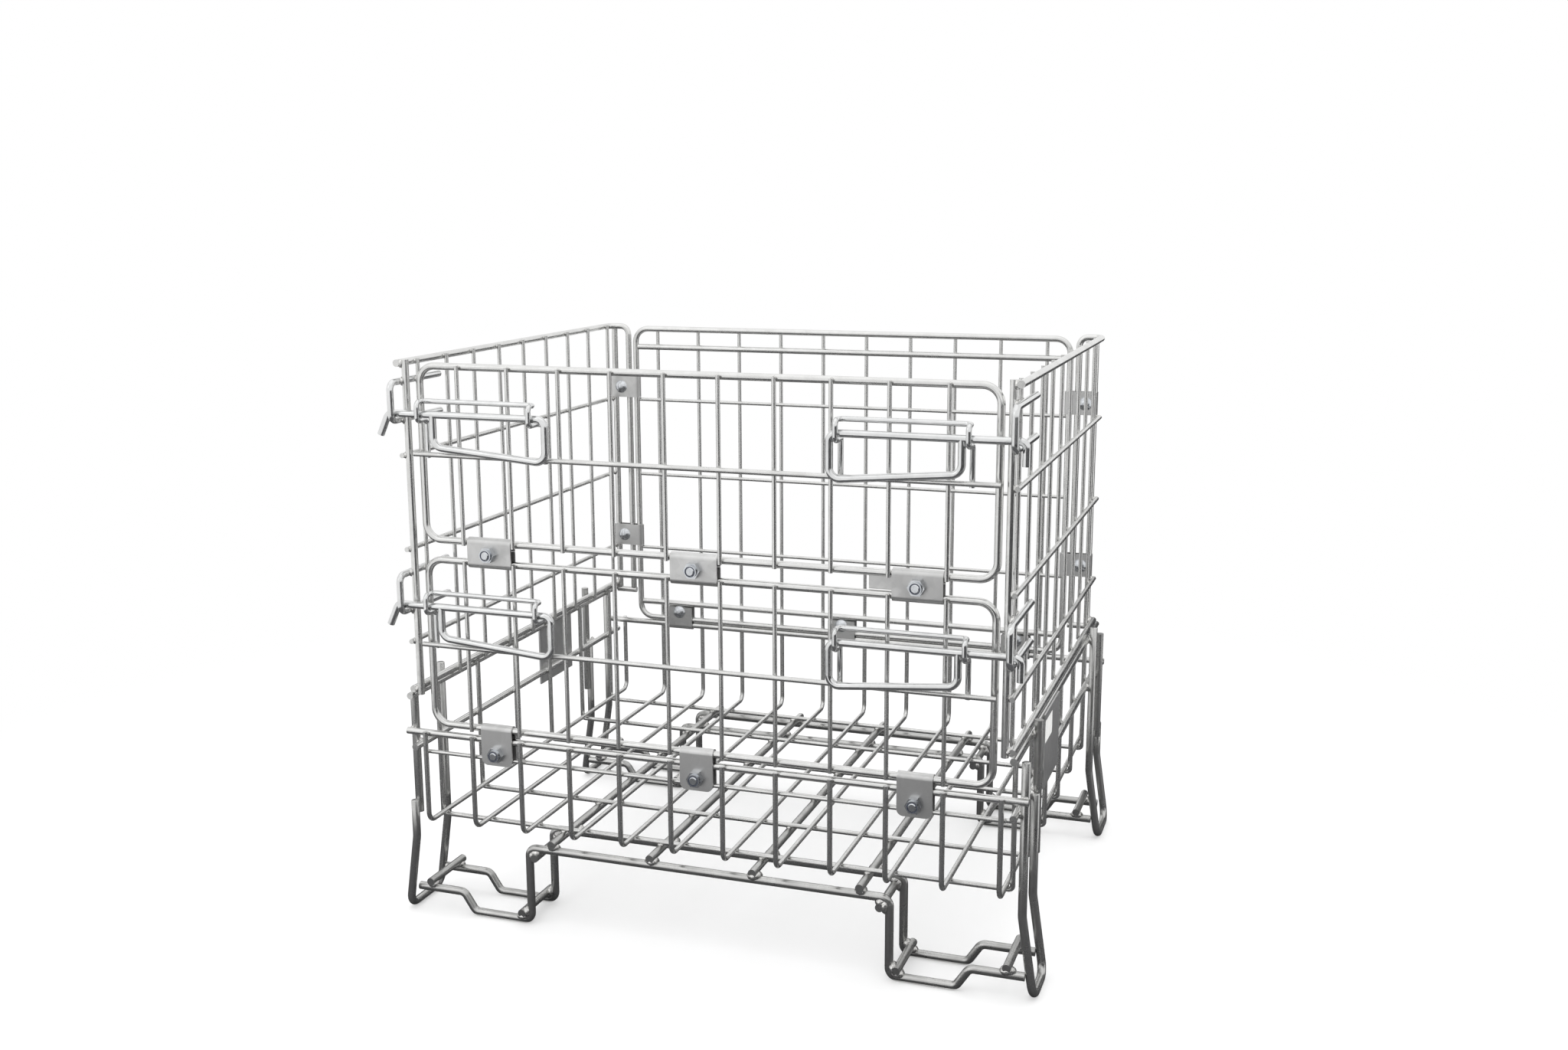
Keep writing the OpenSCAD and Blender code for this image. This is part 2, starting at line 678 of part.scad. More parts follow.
module gate_wires(low, high) {
    color(zinc) for (i = [1 : floor_wire_count - 2])
        rod([wire_x(i), gate_wire_y, low - 3.5], [wire_x(i), gate_wire_y, high + 1.5], panel_wire_diameter);
}

module gate_level_wire(z) {
    x = gate_frame_x + rail_radius;
    color(zinc) rod([-x, level_wire_y, z], [x, level_wire_y, z], level_wire_diameter);
}

// A guide hooks round the latch rod at its inner end and runs down behind the level wire at its outer end.
module latch_guide(z, level_z, x) {
    bar = z + guide_rise;
    hook = z - latch_radius - guide_radius - slide_gap;
    outer_x = x + guide_width;
    color(zinc) bent_rod([[x, guide_back_y, hook], [x, guide_front_y, hook], [x, guide_front_y, bar],
                          [x, guide_y, bar], [outer_x, guide_y, bar], [outer_x, guide_front_y, bar],
                          [outer_x, guide_front_y, hook], [outer_x, guide_back_y, hook],
                          [outer_x, guide_back_y, level_z - 5]], guide_diameter, guide_diameter);
}

module latch_guides(z, level_z) {
    mirror([1, 0, 0]) latch_guide(z, level_z, guide_inner_x);
    latch_guide(z, level_z, guide_inner_x - guide_shift);
}

module lower_gate_frame()
    color(zinc) frame_loop(gate_frame_x, -rail_y, lower_bottom_z, lower_top_z, rail_diameter, frame_bend);
module upper_gate_frame()
    color(zinc) frame_loop(gate_frame_x, -rail_y, upper_bottom_z, upper_top_z, rail_diameter, frame_bend);
module lower_gate_wires() gate_wires(lower_bottom_z, lower_top_z);
module upper_gate_wires() gate_wires(upper_bottom_z, upper_top_z);
module lower_gate_level_wire() gate_level_wire(lower_level_z);
module upper_gate_level_wire() gate_level_wire(upper_level_z);
module lower_latch_guides() latch_guides(lower_latch_z, lower_level_z);
module upper_latch_guides() latch_guides(upper_latch_z, upper_level_z);

// The link straps are closed round the bars of both gates.

module link_strap(x) {
    translate([x, -rail_y, lower_top_z]) difference() {
        rotate([90, 0, 90]) translate([0, 0, -link_strap_width / 2]) linear_extrude(link_strap_width) difference() {
            union() {
                circle(r = leaf_y);
                translate([0, link_pitch]) circle(r = leaf_y);
                translate([-leaf_y, 0]) square([2 * leaf_y, link_pitch]);
            }
            circle(r = fold_radius);
            translate([0, link_pitch]) circle(r = fold_radius);
            translate([-fold_radius, 0]) square([2 * fold_radius, link_pitch]);
            translate([0, link_pitch * 0.62]) square([leaf_y + 1, 0.6]);
        }
        translate([0, cut / 2, link_pitch / 2]) rotate([90, 0, 0]) cylinder(h = cut, d = bolt_diameter + 0.2);
    }
}

// The right strap's inner leaf ends in a tab, which shows between the bars.
module link_straps() color(bright_zinc) {
    for (x = [-strap_x, 0, strap_x]) link_strap(x);
    translate([strap_x - link_strap_width / 2 - strap_tab, -rail_y + fold_radius, lower_top_z + rail_radius])
        cube([strap_tab + 1, strap_thickness, link_pitch - rail_diameter]);
}

module link_strap_bolts() {
    z = (lower_top_z + upper_bottom_z) / 2;
    color(dark_zinc) for (x = [-strap_x, 0, strap_x]) {
        domed_bolt(x, -rail_y + leaf_y, z, 2 * leaf_y + nut_height + bolt_end);
        nut(x, -rail_y - leaf_y, z);
    }
}

// A latch is one rod: a bent tip, a long bolt and a pull loop that closes on itself.
module latch(z, x, lean, tip_bend) {
    outer_x = x + loop_width;
    color(dark_zinc) bent_rod([[latch_bend_x + lean, latch_y, z - latch_tip], [latch_bend_x, latch_y, z],
                               [x, latch_y, z], [x, latch_y, z - loop_drop],
                               [outer_x, latch_y, z - loop_drop + loop_slant], [outer_x, latch_y, z]],
                              latch_diameter, [0, tip_bend, 9, 12, 12, 0]);
}

module right_latch(z) latch(z, loop_inner_x - loop_shift, 0, 7);
module left_latch(z) mirror([1, 0, 0]) latch(z, loop_inner_x, tip_lean, 9);
module right_upper_latch() right_latch(upper_latch_z);
module right_lower_latch() right_latch(lower_latch_z);
module left_upper_latch() left_latch(upper_latch_z);
module left_lower_latch() left_latch(lower_latch_z);

module place() translate([0, shift_y, 0]) children();

place() floor_long_wires();
place() floor_cross_wires();
place() front_base_rail();
place() rear_base_rail();
place() front_skirt_wire();
place() left_side_rails();
place() right_side_rails();
place() support_rods();
place() front_outer_runner();
place() front_inner_runner();
place() rear_outer_runner();
place() rear_inner_runner();
place() runner_cross_rods();
place() front_left_leg();
place() front_right_leg();
place() rear_left_leg();
place() rear_right_leg();
place() leg_posts();
place() left_label_plate();
place() right_label_plate();
place() left_top_rail();
place() left_posts();
place() left_bottom_rail();
place() left_upright_wires();
place() left_level_wires();
place() left_upper_catch();
place() left_lower_catch();
place() right_top_rail();
place() right_posts();
place() right_bottom_rail();
place() right_upright_wires();
place() right_level_wires();
place() right_upper_catch();
place() right_lower_catch();
place() back_frame();
place() back_bars();
place() back_upright_wires();
place() back_level_wires();
place() back_hinge_straps();
place() back_strap_bolts();
place() corner_straps();
place() corner_strap_bolts();
place() bottom_straps();
place() bottom_strap_bolts();
place() lower_gate_frame();
place() lower_gate_wires();
place() lower_gate_level_wire();
place() lower_latch_guides();
place() link_straps();
place() link_strap_bolts();
place() upper_gate_frame();
place() upper_gate_wires();
place() upper_gate_level_wire();
place() upper_latch_guides();
place() left_lower_latch();
place() right_lower_latch();
place() left_upper_latch();
place() right_upper_latch();
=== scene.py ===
"""Wire mesh pallet container: finishes, foot loops, welds, guide legs, nut rings, a label and the studio.

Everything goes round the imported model. Sizes of the part are in millimetres, before the move along Y that
centres the model. The studio's are in metres.
"""
import math

import bpy
import numpy as np
from mathutils import Matrix


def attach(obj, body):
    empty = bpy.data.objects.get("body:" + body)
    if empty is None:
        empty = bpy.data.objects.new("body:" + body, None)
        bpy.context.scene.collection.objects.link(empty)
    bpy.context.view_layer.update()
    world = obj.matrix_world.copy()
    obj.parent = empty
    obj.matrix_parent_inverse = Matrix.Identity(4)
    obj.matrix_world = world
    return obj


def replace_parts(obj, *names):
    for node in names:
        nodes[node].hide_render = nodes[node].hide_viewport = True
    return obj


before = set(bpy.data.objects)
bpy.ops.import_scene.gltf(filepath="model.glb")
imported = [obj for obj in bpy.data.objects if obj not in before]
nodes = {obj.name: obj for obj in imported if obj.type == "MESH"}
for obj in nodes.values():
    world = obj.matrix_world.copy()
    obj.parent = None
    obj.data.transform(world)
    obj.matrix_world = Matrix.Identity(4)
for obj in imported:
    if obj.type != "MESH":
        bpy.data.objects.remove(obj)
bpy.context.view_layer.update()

# The move along Y that centres the model
SHIFT = 12.335
# The part's height, which no weld passes
TOP = 697.0

# Radii of the leg and runner rods, the rails, the catches, the wires and the thin wires
HEAVY_RADIUS, RAIL_RADIUS, CATCH_RADIUS, WIRE_RADIUS, THIN_RADIUS = 5, 4.25, 4, 3, 2.5

# Places that the wires and rods repeat at
WIRE_X = (np.arange(12) - 5.5) * 65.0
CROSS_Y = (np.arange(6) - 2.5) * 100.0
UPRIGHT_Y = (np.arange(9) - 4.0) * 66.0
SUPPORT_X = (65, 195)
RAIL_Y = 286.65
OUTER_Y, INNER_Y = 277.3, 213.3
RUNNER_Y = (-OUTER_Y, -INNER_Y, INNER_Y, OUTER_Y)
# Middle of a pair of runners, and half the length of the rods that tie them
PAIR_Y, TIE_HALF = 245.3, 40
# Level wires of the side panels and the back panel
LEVELS = (583.3, 469.35, 355.4)
PANEL_X = 368.6
POST_X = 360

# Each gate's bottom bar, top bar, level wire and latch rod
GATES = {"lower_gate": (251.3, 457.5, 354.4, 404.3), "upper_gate": (482.0, 689.6, 586.6, 635.0)}
LATCH_Z = tuple(latch for *_, latch in GATES.values())
GATE_WIRE_Y, LEVEL_WIRE_Y = -293.5, -299.1
# The latch guides: ends of their bars, height of the bars above the latch rod, plane of their legs behind
# the level wire, drop from the latch rod to the hooks' ends, and how far the legs pass the level wire
GUIDE_BARS, GUIDE_RISE = ((-332, -193), (176, 315)), 14.8
GUIDE_BACK_Y, HOOK_DROP, LEG_PASS = -293.0, 7.55, 5
OUTER_LEG_X, INNER_LEG_X = (-335, 318), (-181, 173.5)
# The left guides' inner hooks end further out than their legs
LEFT_HOOK_X = -190.5

# Straps: places along X, and the distance from a bar's middle to a leaf's outer face
STRAP_X = (-260.0, 0.0, 260.0)
LEAF = 6.33
CORNER_STRAP_X = 348.7
# From a leaf to the outer end of its nut
NUT_HEIGHT = 10

# Foot loops: the arms' side, the foot's side and height, and the height where the arms splay out
LEG_X, FOOT_X, FOOT_Z, SPLAY_Z = 380.75, 395.0, 5.0, 100.0
SPLAY_BEND, FOOT_BEND = 40, 16
# Depth and top of the tall arm, then of the lapped arm, for the two kinds of loop
LONG_LOOP = (-INNER_Y, 305, -287.4, 147)
SHORT_LOOP = (-OUTER_Y, 280, -INNER_Y, 221)
# Each leg's side and end of the container, with its arms
LOOPS = {"front_left_leg": (-1, 1, *LONG_LOOP), "front_right_leg": (1, 1, *SHORT_LOOP),
         "rear_left_leg": (-1, -1, *SHORT_LOOP), "rear_right_leg": (1, -1, *LONG_LOOP)}
# Side, depth, foot and top of the posts that are lapped to the legs
POSTS = ((-1, -OUTER_Y, 129, 280), (1, -203.2, 147, 305), (1, OUTER_Y, 129, 280), (-1, 203.2, 147, 305))

# A weld's spread along the rods and its depth across them, as shares of the thinner rod's radius
SPOT, GUIDE_SPOT, ARC, HEAVY_ARC = (0.95, 0.62), (1.1, 0.7), (1.45, 0.9), (1.75, 1.05)
# Rods count as touching within NEAR of the sum of their radii and up to PAST_END beyond their ends, and as
# crossing while the square of the cosine between them is under ALIGNED
NEAR, PAST_END, ALIGNED = 1.2, 4, 0.5
# How much the welds differ in size, and the range of their waves' phases
WELD_SIZES, PHASES = (0.86, 1.14), (0, 6.28)
RANDOM = np.random.default_rng(41)

# The blank label on the right plate: its sides, the plate's face and its own, and its corners' radius
LABEL = {"y_range": (-142, -96), "z_range": (256, 283), "inner": 377.76, "outer": 377.9, "corner": 1.5}


# Rods as arrays of start, end and radius

def rods(pairs, radius):
    """Rods of one radius from pairs of start and end."""
    ends = np.array(pairs, float).reshape(-1, 2, 3)
    return {"start": ends[:, 0], "end": ends[:, 1], "radius": np.full(len(ends), float(radius))}


def both(pairs):
    """The pairs, and after them their mirror images on the other side."""
    return pairs + [[(-a[0], a[1], a[2]), (-b[0], b[1], b[2])] for a, b in pairs]


def along_x(y, z, half):
    return [(-half, y, z), (half, y, z)]


def along_y(x, z, low, high):
    return [(x, low, z), (x, high, z)]


def along_z(x, y, low, high):
    return [(x, y, low), (x, y, high)]


def crossings(a, b):
    """Contact points of the rods of a that touch rods of b, with a's directions, the normals and both radii.

    The closest points of two lines p + s u and q + t v are found for all pairs at once, and a pair counts
    where both points lie on the rods, their distance is the sum of the radii and the rods truly cross.
    """
    p, q = a["start"][:, None], b["start"][None]
    u = a["end"][:, None] - p
    v = b["end"][None] - q
    lu, lv = np.linalg.norm(u, axis=2, keepdims=True), np.linalg.norm(v, axis=2, keepdims=True)
    u, v = u / lu, v / lv
    w = p - q
    k = (u * v).sum(2, keepdims=True)
    d, e = (u * w).sum(2, keepdims=True), (v * w).sum(2, keepdims=True)
    den = np.maximum(1 - k * k, 1e-9)
    s, t = (k * e - d) / den, (e - k * d) / den
    ca, cb = p + s * u, q + t * v
    gap = np.linalg.norm(cb - ca, axis=2, keepdims=True)
    ra, rb = a["radius"][:, None, None], b["radius"][None, :, None]
    touch = (np.abs(gap - ra - rb) < NEAR) & (k * k < ALIGNED)
    touch &= (s > -PAST_END) & (s < lu + PAST_END) & (t > -PAST_END) & (t < lv + PAST_END)
    i, j = np.nonzero(touch[..., 0])
    n = (cb - ca)[i, j] / gap[i, j]
    return {"centre": ca[i, j] + n * ra[i, 0], "u": np.broadcast_to(u, ca.shape)[i, j], "n": n,
            "ra": ra[i, 0, 0], "rb": rb[0, j, 0]}


# Shapes

def grid_faces(rows, columns, closed=True):
    """Quads of a grid of points, row by row. Closed, its last column joins its first."""
    strips = columns if closed else columns - 1
    row, column = np.meshgrid(np.arange(rows - 1), np.arange(strips), indexing="ij")
    following = (column + 1) % columns
    here, above = row * columns, (row + 1) * columns
    return np.stack([here + column, here + following, above + following, above + column], -1).reshape(-1, 4)


def ball_grid(rows, columns):
    """Unit directions of a ball, pole to pole, with its quads and the fans that close the poles."""
    polar = np.linspace(0, np.pi, rows + 2)[1:-1]
    turn = np.linspace(0, 2 * np.pi, columns, endpoint=False)
    a, b = np.meshgrid(polar, turn, indexing="ij")
    ring = np.stack([np.sin(a) * np.cos(b), np.sin(a) * np.sin(b), np.cos(a)], -1).reshape(-1, 3)
    directions = np.vstack([ring, [[0, 0, 1], [0, 0, -1]]])
    quads = grid_faces(rows, columns)[:, ::-1]
    k = np.arange(columns)
    top = np.stack([np.full(columns, rows * columns), k, (k + 1) % columns], -1)
    low = (rows - 1) * columns
    bottom = np.stack([np.full(columns, rows * columns + 1), low + (k + 1) % columns, low + k], -1)
    return directions, quads, top, bottom


def nuggets(joints, spread, depth):
    """Weld nuggets: at each contact point a ball stretched along both rods and flattened between them.

    Its radius is 1 plus two low waves with phases of its own, so that no two are alike.
    """
    directions, quads, top, bottom = ball_grid(5, 10)
    count, size = len(joints["centre"]), len(directions)
    phase = RANDOM.uniform(*PHASES, (count, 1, 2))
    scale = RANDOM.uniform(*WELD_SIZES, (count, 1))
    turn = np.arctan2(directions[:, 1], directions[:, 0])[None]
    height = directions[None, :, 2]
    wave = 1 + 0.07 * np.sin(3 * turn + phase[..., 0]) + 0.05 * np.sin(5 * height + phase[..., 1])
    small = np.minimum(joints["ra"], joints["rb"])[:, None]
    lean = np.cross(joints["n"], joints["u"])
    points = (joints["centre"][:, None]
              + joints["u"][:, None] * (spread * small * scale * wave * directions[:, 0])[..., None]
              + lean[:, None] * (spread * small * scale * wave * directions[:, 1])[..., None]
              + joints["n"][:, None] * (depth * small * wave * directions[:, 2])[..., None])
    points[..., 2] = np.minimum(points[..., 2], TOP)
    offset = (np.arange(count) * size)[:, None, None]
    faces = []
    for part in (quads, top, bottom):
        faces.extend((part[None] + offset).reshape(-1, part.shape[1]).tolist())
    return points.reshape(-1, 3), faces


def join(groups):
    """One set of points and faces from several."""
    points, faces, start = [], [], 0
    for p, f in groups:
        points.append(p)
        faces.extend([[i + start for i in face] for face in f])
        start += len(p)
    return np.vstack(points), faces


def revolve(profile, place, axis_sign, columns):
    """A closed solid of revolution about Y: profile is a list of (distance along the axis, radius).

    The axis points along -Y where axis_sign is 1 and along +Y where it is -1.
    """
    profile = np.asarray(profile, float)
    turn = np.linspace(0, 2 * np.pi, columns, endpoint=False)
    along, radius = profile[:, 0][:, None], profile[:, 1][:, None]
    x = radius * np.cos(turn)
    z = radius * np.sin(turn)
    y = np.broadcast_to(-axis_sign * along, x.shape)
    points = np.stack([x, y, z], -1).reshape(-1, 3)
    points = np.vstack([points, [[0, -axis_sign * profile[0, 0], 0], [0, -axis_sign * profile[-1, 0], 0]]])
    faces = grid_faces(len(profile), columns).tolist()
    k = np.arange(columns)
    base, last = len(profile) * columns, (len(profile) - 1) * columns
    faces += np.stack([np.full(columns, base), (k + 1) % columns, k], -1).tolist()
    faces += np.stack([np.full(columns, base + 1), last + k, last + (k + 1) % columns], -1).tolist()
    if axis_sign < 0:
        faces = [f[::-1] for f in faces]
    return points + np.asarray(place, float), faces


def bent_centre(points, radii, steps):
    """The centre line of a rod that is bent at each inner point with that point's radius.

    The middle of a bend lies on the line that halves the corner, at the radius over the sine of half the
    corner. Its arc runs from the first touching point to the last, both weighted by sines of the sweep.
    """
    points = np.asarray(points, float)
    line = [points[:1]]
    for a, b, c, radius in zip(points, points[1:], points[2:], radii):
        u, v = (a - b) / np.linalg.norm(a - b), (c - b) / np.linalg.norm(c - b)
        half = np.arccos(np.clip(u @ v, -1, 1)) / 2
        middle = b + (u + v) / np.linalg.norm(u + v) * radius / np.sin(half)
        first, last = b + u * radius / np.tan(half) - middle, b + v * radius / np.tan(half) - middle
        sweep = np.pi - 2 * half
        share = np.linspace(0, 1, steps)[:, None]
        arm = (first * np.sin((1 - share) * sweep) + last * np.sin(share * sweep)) / np.sin(sweep)
        line.append(middle + arm)
    return np.vstack(line + [points[-1:]])


def swept_rod(line, radius):
    """A closed round rod along a centre line, with its cut ends a little rounded.

    The radius is one number, or one for each point of the line. Each ring keeps the direction of the ring
    before it, made square to the line again, so that the rod doesn't twist.
    """
    columns = 24
    # Distance from a cut end, and the share of the radius there
    ends = [(0.0, 0.9), (0.5, 1.0)]
    tangent = np.gradient(line, axis=0)
    tangent[0], tangent[-1] = line[1] - line[0], line[-1] - line[-2]
    tangent /= np.linalg.norm(tangent, axis=1, keepdims=True)
    side = np.cross(tangent[0], (0, 1.0, 0))
    turn = np.linspace(0, 2 * np.pi, columns, endpoint=False)[:, None]
    rings = []
    for i, (place, t, size) in enumerate(zip(line, tangent, np.broadcast_to(radius, len(line)))):
        side = side - t * (side @ t)
        side /= np.linalg.norm(side)
        up = np.cross(t, side)
        circle = size * (np.cos(turn) * side + np.sin(turn) * up)
        if i == 0:
            rings += [place + t * step + circle * share for step, share in ends]
        elif i == len(line) - 1:
            rings += [place - t * step + circle * share for step, share in ends[::-1]]
        else:
            rings.append(place + circle)
    points = np.vstack(rings)
    faces = grid_faces(len(rings), columns).tolist()
    faces += [list(range(columns))[::-1], [len(points) - columns + i for i in range(columns)]]
    return points, faces


def domed_rod(line, outward):
    """A wire along a centre line whose start is closed by a dome that bulges outward.

    The dome's rings stand at the sine of their angle along the wire and have the cosine of it as radius.
    """
    angles = np.radians(np.arange(80, -1, -16))
    dome = [line[0] + np.multiply(outward, WIRE_RADIUS * math.sin(a)) for a in angles[:-1]]
    radius = np.append(WIRE_RADIUS * np.cos(angles), np.full(len(line) - 1, float(WIRE_RADIUS)))
    return swept_rod(np.vstack([dome, line]), radius)


# Objects

def in_scene(name, data):
    """A new object in the scene with this mesh, light or camera."""
    thing = bpy.data.objects.new(name, data)
    bpy.context.scene.collection.objects.link(thing)
    return thing


def mesh_object(name, points, faces, material, smooth):
    """A mesh object from points in metres, in one material."""
    mesh = bpy.data.meshes.new(name)
    mesh.from_pydata(points, [], [list(map(int, f)) for f in faces])
    mesh.polygons.foreach_set("use_smooth", np.full(len(mesh.polygons), smooth))
    mesh.materials.append(material)
    mesh.update()
    return in_scene(name, mesh)


def new_piece(name, points, faces, body, material, slot, smooth=True):
    """A mesh piece from points in millimetres before the shift, riding on a body."""
    where = (np.asarray(points, float) + (0, SHIFT, 0)) / 1000
    piece = mesh_object(name, where.tolist(), faces, material, smooth)
    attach(piece, body)
    return piece


def stage_piece(name, points, faces, material):
    """A mesh of the studio from points in metres."""
    piece = mesh_object(name, points, faces, material, False)
    return piece


def aim(thing, right, up, back, place):
    """Puts an object at a place, with its own X, Y and Z along right, up and back."""
    thing.matrix_world = Matrix([[right[i], up[i], back[i], place[i]] for i in range(3)] + [[0, 0, 0, 1]])


# Materials

def node(tree, kind, at, **values):
    """A shader node at a place in the tree. Values set its own properties, or else its inputs."""
    made = tree.nodes.new(kind)
    made.location = at
    for key, value in values.items():
        if hasattr(made, key):
            setattr(made, key, value)
        else:
            made.inputs[key.replace("_", " ")].default_value = value
    return made


def new_material(name):
    """A material, its node tree and its Principled shader."""
    material = bpy.data.materials.new(name)
    material.use_nodes = True
    return material, material.node_tree, material.node_tree.nodes["Principled BSDF"]


def zinc_skin():
    """Colour, roughness and height of a zinc coat: cloudy tone, crystal grain and fine pits."""
    t = bpy.data.node_groups.new("zinc_skin", "ShaderNodeTree")
    for name, kind, value in (("Bright", "NodeSocketColor", (0.6, 0.6, 0.6, 1)),
                              ("Dull", "NodeSocketColor", (0.4, 0.4, 0.4, 1)),
                              ("Cloud Size", "NodeSocketFloat", 40.0),
                              ("Grain Size", "NodeSocketFloat", 300.0), ("Grain", "NodeSocketFloat", 0.3),
                              ("Smooth", "NodeSocketFloat", 0.25), ("Rough", "NodeSocketFloat", 0.45)):
        socket = t.interface.new_socket(name, in_out="INPUT", socket_type=kind)
        socket.default_value = value
    for name, kind in (("Color", "NodeSocketColor"), ("Roughness", "NodeSocketFloat"),
                       ("Height", "NodeSocketFloat")):
        t.interface.new_socket(name, in_out="OUTPUT", socket_type=kind)
    inside = node(t, "NodeGroupInput", (-900, 0))
    out = node(t, "NodeGroupOutput", (700, 0))
    place = node(t, "ShaderNodeTexCoord", (-900, 300))
    cloud = node(t, "ShaderNodeTexNoise", (-650, 300), Detail=4.0, Roughness=0.6)
    crystal = node(t, "ShaderNodeTexVoronoi", (-650, 50))
    pits = node(t, "ShaderNodeTexNoise", (-650, -250), Scale=900.0, Detail=2.0)
    for texture, size in ((cloud, "Cloud Size"), (crystal, "Grain Size")):
        t.links.new(place.outputs["Object"], texture.inputs["Vector"])
        t.links.new(inside.outputs[size], texture.inputs["Scale"])
    t.links.new(place.outputs["Object"], pits.inputs["Vector"])
    # The voronoi cell's own colour gives each crystal one tone
    cell = node(t, "ShaderNodeSeparateColor", (-430, 50))
    t.links.new(crystal.outputs["Color"], cell.inputs["Color"])
    stretch = node(t, "ShaderNodeMapRange", (-430, 300), From_Min=0.3, From_Max=0.7)
    t.links.new(cloud.outputs["Fac"], stretch.inputs["Value"])
    mixed = node(t, "ShaderNodeMix", (-200, 200), data_type="FLOAT")
    t.links.new(inside.outputs["Grain"], mixed.inputs[0])
    t.links.new(stretch.outputs["Result"], mixed.inputs[2])
    t.links.new(cell.outputs["Red"], mixed.inputs[3])
    tone = node(t, "ShaderNodeMix", (100, 200), data_type="RGBA")
    t.links.new(mixed.outputs[0], tone.inputs[0])
    t.links.new(inside.outputs["Bright"], tone.inputs[6])
    t.links.new(inside.outputs["Dull"], tone.inputs[7])
    rough = node(t, "ShaderNodeMapRange", (100, -50))
    t.links.new(mixed.outputs[0], rough.inputs["Value"])
    t.links.new(inside.outputs["Smooth"], rough.inputs["To Min"])
    t.links.new(inside.outputs["Rough"], rough.inputs["To Max"])
    height = node(t, "ShaderNodeMix", (100, -300), data_type="FLOAT")
    height.inputs[0].default_value = 0.35
    t.links.new(stretch.outputs["Result"], height.inputs[2])
    t.links.new(pits.outputs["Fac"], height.inputs[3])
    t.links.new(tone.outputs[2], out.inputs["Color"])
    t.links.new(rough.outputs["Result"], out.inputs["Roughness"])
    t.links.new(height.outputs[0], out.inputs["Height"])
    return t


SKIN = zinc_skin()


def zinc(name, bright, dull, cloud_size, grain_size, grain, smooth, rough, bump):
    """A zinc finish: the shared skin with this finish's own values, and the depth of its bump."""
    material, t, shader = new_material(name)
    shader.inputs["Metallic"].default_value = 1.0
    skin = t.nodes.new("ShaderNodeGroup")
    skin.node_tree = SKIN
    skin.location = (-600, 100)
    for key, value in (("Bright", (*bright, 1)), ("Dull", (*dull, 1)), ("Cloud Size", cloud_size),
                       ("Grain Size", grain_size), ("Grain", grain), ("Smooth", smooth), ("Rough", rough)):
        skin.inputs[key].default_value = value
    raised = node(t, "ShaderNodeBump", (-250, -250), Strength=bump, Distance=0.0006)
    t.links.new(skin.outputs["Color"], shader.inputs["Base Color"])
    t.links.new(skin.outputs["Roughness"], shader.inputs["Roughness"])
    t.links.new(skin.outputs["Height"], raised.inputs["Height"])
    t.links.new(raised.outputs["Normal"], shader.inputs["Normal"])
    return material


def plain(name, colour, rough, scale, bump):
    """A plain finish with a little fine noise in its tone and surface."""
    material, t, shader = new_material(name)
    shader.inputs["Metallic"].default_value = 0.0
    shader.inputs["Roughness"].default_value = rough
    place = node(t, "ShaderNodeTexCoord", (-900, 0))
    noise = node(t, "ShaderNodeTexNoise", (-700, 0), Scale=scale, Detail=5.0)
    tone = node(t, "ShaderNodeMix", (-300, 100), data_type="RGBA")
    tone.inputs[6].default_value = (*[c * 0.82 for c in colour], 1)
    tone.inputs[7].default_value = (*[min(1.0, c * 1.1) for c in colour], 1)
    raised = node(t, "ShaderNodeBump", (-300, -200), Strength=bump, Distance=0.0003)
    t.links.new(place.outputs["Object"], noise.inputs["Vector"])
    t.links.new(noise.outputs["Fac"], tone.inputs[0])
    t.links.new(noise.outputs["Fac"], raised.inputs["Height"])
    t.links.new(tone.outputs[2], shader.inputs["Base Color"])
    t.links.new(raised.outputs["Normal"], shader.inputs["Normal"])
    return material


ROD = zinc("zinc_rod", bright=(0.77, 0.77, 0.76), dull=(0.67, 0.67, 0.66), cloud_size=45.0, grain_size=300.0,
           grain=0.15, smooth=0.18, rough=0.30, bump=0.10)
WIRE = zinc("zinc_wire", bright=(0.75, 0.75, 0.74), dull=(0.63, 0.63, 0.62), cloud_size=60.0,
            grain_size=420.0, grain=0.15, smooth=0.20, rough=0.34, bump=0.10)
# Darker zinc for the legs, runners and supports: painted shade, since they stand low in the shade under the
# container
SHADED_LEG = zinc("zinc_leg_painted_shade", bright=(0.62, 0.62, 0.61), dull=(0.48, 0.48, 0.47), cloud_size=30.0, grain_size=180.0,
           grain=0.2, smooth=0.22, rough=0.36, bump=0.14)
LATCH = zinc("zinc_latch", bright=(0.79, 0.795, 0.795), dull=(0.68, 0.685, 0.685), cloud_size=40.0,
             grain_size=300.0, grain=0.12, smooth=0.13, rough=0.25, bump=0.08)
SHEET = zinc("galvanised_sheet", bright=(0.72, 0.72, 0.715), dull=(0.61, 0.61, 0.605), cloud_size=26.0,
             grain_size=110.0, grain=0.40, smooth=0.34, rough=0.50, bump=0.06)
BOLT = zinc("zinc_bolt", bright=(0.70, 0.72, 0.74), dull=(0.55, 0.57, 0.60), cloud_size=120.0,
            grain_size=700.0, grain=0.2, smooth=0.16, rough=0.30, bump=0.10)
# Weld metal whose mottle is partly painted: its near-white flecks are painted glints and its darker share
# painted shade beside them, over the weld's own rough grain
WELD_AND_GLINTS = zinc("weld_metal_painted_glints", bright=(0.93, 0.93, 0.91), dull=(0.46, 0.45, 0.44), cloud_size=420.0,
            grain_size=900.0, grain=0.35, smooth=0.14, rough=0.34, bump=0.5)
NYLON = plain("nylon_ring", (0.05, 0.06, 0.09), rough=0.45, scale=600.0, bump=0.2)
PAPER = plain("blank_label", (0.86, 0.86, 0.84), rough=0.6, scale=90.0, bump=0.1)
